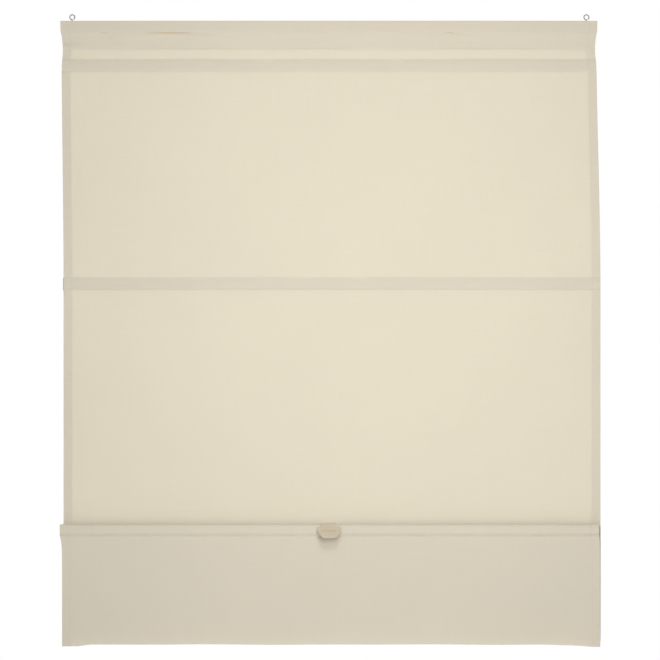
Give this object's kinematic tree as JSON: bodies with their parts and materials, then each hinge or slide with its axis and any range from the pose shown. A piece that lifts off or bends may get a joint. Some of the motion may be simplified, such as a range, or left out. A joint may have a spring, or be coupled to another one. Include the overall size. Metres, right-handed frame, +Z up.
{
  "type": "roman blind",
  "caption": "Cordless roman blind: beige woven cloth on a head batten with rib pockets, its lowest fold hooked up by a small finger-tab handle.",
  "frame": {"origin": "midway between the centres of the two screw-eye holes that the blind hangs from", "axes": "+Z up along the drop, +X to the right as seen from the room, the cloth faces -Y"},
  "size_m": [1, 0.0651, 1.1799],
  "materials": {
    "cloth": "plain weave, matte, slightly translucent",
    "tape": "plain weave tape, matte",
    "timber": "planed softwood, bare",
    "rib_aluminium": "mill finish",
    "plug_plastic": "moulded, matte",
    "hook_plastic": "moulded, satin",
    "handle_plastic": "moulded, satin, slightly translucent",
    "zinc_wire": "zinc plated, dull"
  },
  "bodies": {
    "head": {"head_batten": "timber", "screw_eye_left": "zinc_wire", "screw_eye_right": "zinc_wire", "cloth_head": "cloth", "cloth_panel_1_2": "cloth", "batten_1": "rib_aluminium", "end_plug_1_left": "plug_plastic", "end_plug_1_right": "plug_plastic", "pocket_tape_1": "tape"},
    "rib_2": {"batten_2": "rib_aluminium", "end_plug_2_left": "plug_plastic", "end_plug_2_right": "plug_plastic", "pocket_tape_2": "tape", "rib_hook_2_left": "hook_plastic", "rib_hook_2_right": "hook_plastic", "cloth_panel_2_3": "cloth"},
    "rib_3": {"batten_3": "rib_aluminium", "end_plug_3_left": "plug_plastic", "end_plug_3_right": "plug_plastic", "pocket_tape_3": "tape", "rib_hook_3_left": "hook_plastic", "rib_hook_3_right": "hook_plastic", "cloth_loop_3_4": "cloth"},
    "rib_4": {"batten_4": "rib_aluminium", "end_plug_4_left": "plug_plastic", "end_plug_4_right": "plug_plastic", "pocket_tape_4": "tape", "lift_handle": "handle_plastic", "cloth_flap": "cloth"}
  },
  "joints": [
    {"name": "rib_2_lift", "type": "slide", "parent": "head", "child": "rib_2", "axis": [0, -0.0367, 0.9993], "range_m": [0, 0.40927], "deforming": ["cloth_panel_1_2"]},
    {"name": "rib_3_lift", "type": "slide", "parent": "rib_2", "child": "rib_3", "axis": [0, -0.0326, 0.9995], "range_m": [0, 0.46025], "deforming": ["cloth_panel_2_3"]},
    {"name": "rib_4_drop", "type": "slide", "parent": "rib_3", "child": "rib_4", "axis": [0, 0.0326, -0.9995], "range_m": [0, 0.46025], "deforming": ["cloth_loop_3_4"]}
  ]
}
